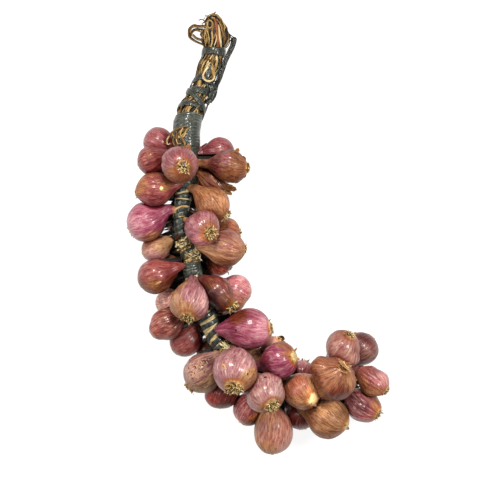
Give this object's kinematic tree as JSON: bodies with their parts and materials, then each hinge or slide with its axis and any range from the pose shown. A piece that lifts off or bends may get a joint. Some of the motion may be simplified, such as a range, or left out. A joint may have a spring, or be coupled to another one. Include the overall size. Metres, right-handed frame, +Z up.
{
  "type": "plait of shallots",
  "caption": "Curved string of pink shallots tied by their necks round a raffia-bound stalk, with a hanging loop at its head, laid flat on a surface.",
  "frame": {"origin": "middle of the plait's footprint, on the surface that it lies on", "axes": "+Y towards the plait's head, +Z up from the surface"},
  "size_m": [0.2352, 0.4039, 0.0949],
  "materials": {
    "dry_leaf": "matt dried leaf and raffia strands, straw to brown",
    "rubber_strip": "satin dark grey rubber strip with scuffs and bright edges",
    "skin_pale": "dry papery skin, pale pink with white streaks",
    "skin_pink": "dry papery skin, soft pink",
    "skin_magenta": "glossy inner skin, magenta pink",
    "skin_rose": "glossy skin, brownish rose",
    "skin_mauve": "dull papery skin, dusty mauve",
    "skin_tan": "dry papery skin, tan with fine brown veins",
    "skin_orange": "glossy dry skin, orange brown",
    "skin_russet": "glossy skin, red brown",
    "skin_dark": "dull skin, dark red in the shade of its neighbours"
  },
  "bodies": {
    "root": {"leaf_core": "dry_leaf", "raffia_hanging_loop": "dry_leaf", "raffia_teardrop": "dry_leaf", "raffia_bow": "dry_leaf", "strip_head_band": "rubber_strip", "strip_stalk_wraps": "rubber_strip", "strip_plait_wraps": "rubber_strip", "strip_hanging_loop": "rubber_strip", "bulb_01": "skin_pink", "bulb_02": "skin_rose", "bulb_03": "skin_pale", "bulb_04": "skin_pink", "bulb_05": "skin_russet", "bulb_06": "skin_russet", "bulb_07": "skin_rose", "bulb_08": "skin_orange", "bulb_09": "skin_magenta", "bulb_10": "skin_pink", "bulb_11": "skin_russet", "bulb_12": "skin_tan", "bulb_13": "skin_tan", "bulb_14": "skin_dark", "bulb_15": "skin_rose", "bulb_16": "skin_pale", "bulb_17": "skin_russet", "bulb_18": "skin_pink", "bulb_19": "skin_mauve", "bulb_20": "skin_russet", "bulb_21": "skin_rose", "bulb_22": "skin_magenta", "bulb_23": "skin_mauve", "bulb_24": "skin_mauve", "bulb_25": "skin_pale", "bulb_26": "skin_dark", "bulb_27": "skin_magenta", "bulb_28": "skin_tan", "bulb_29": "skin_pale", "bulb_30": "skin_dark", "bulb_31": "skin_tan", "bulb_32": "skin_orange", "bulb_33": "skin_orange", "bulb_34": "skin_tan", "bulb_35": "skin_mauve", "bulb_36": "skin_rose", "bulb_37": "skin_rose", "bulb_38": "skin_tan", "bulb_39": "skin_dark", "bulb_40": "skin_pink", "bulb_41": "skin_tan", "bulb_42": "skin_russet", "bulb_43": "skin_dark", "bulb_44": "skin_russet", "bulb_45": "skin_dark", "bulb_46": "skin_rose", "bulb_47": "skin_dark", "bulb_48": "skin_russet", "bulb_49": "skin_dark", "bulb_50": "skin_rose"}
  },
  "joints": []
}
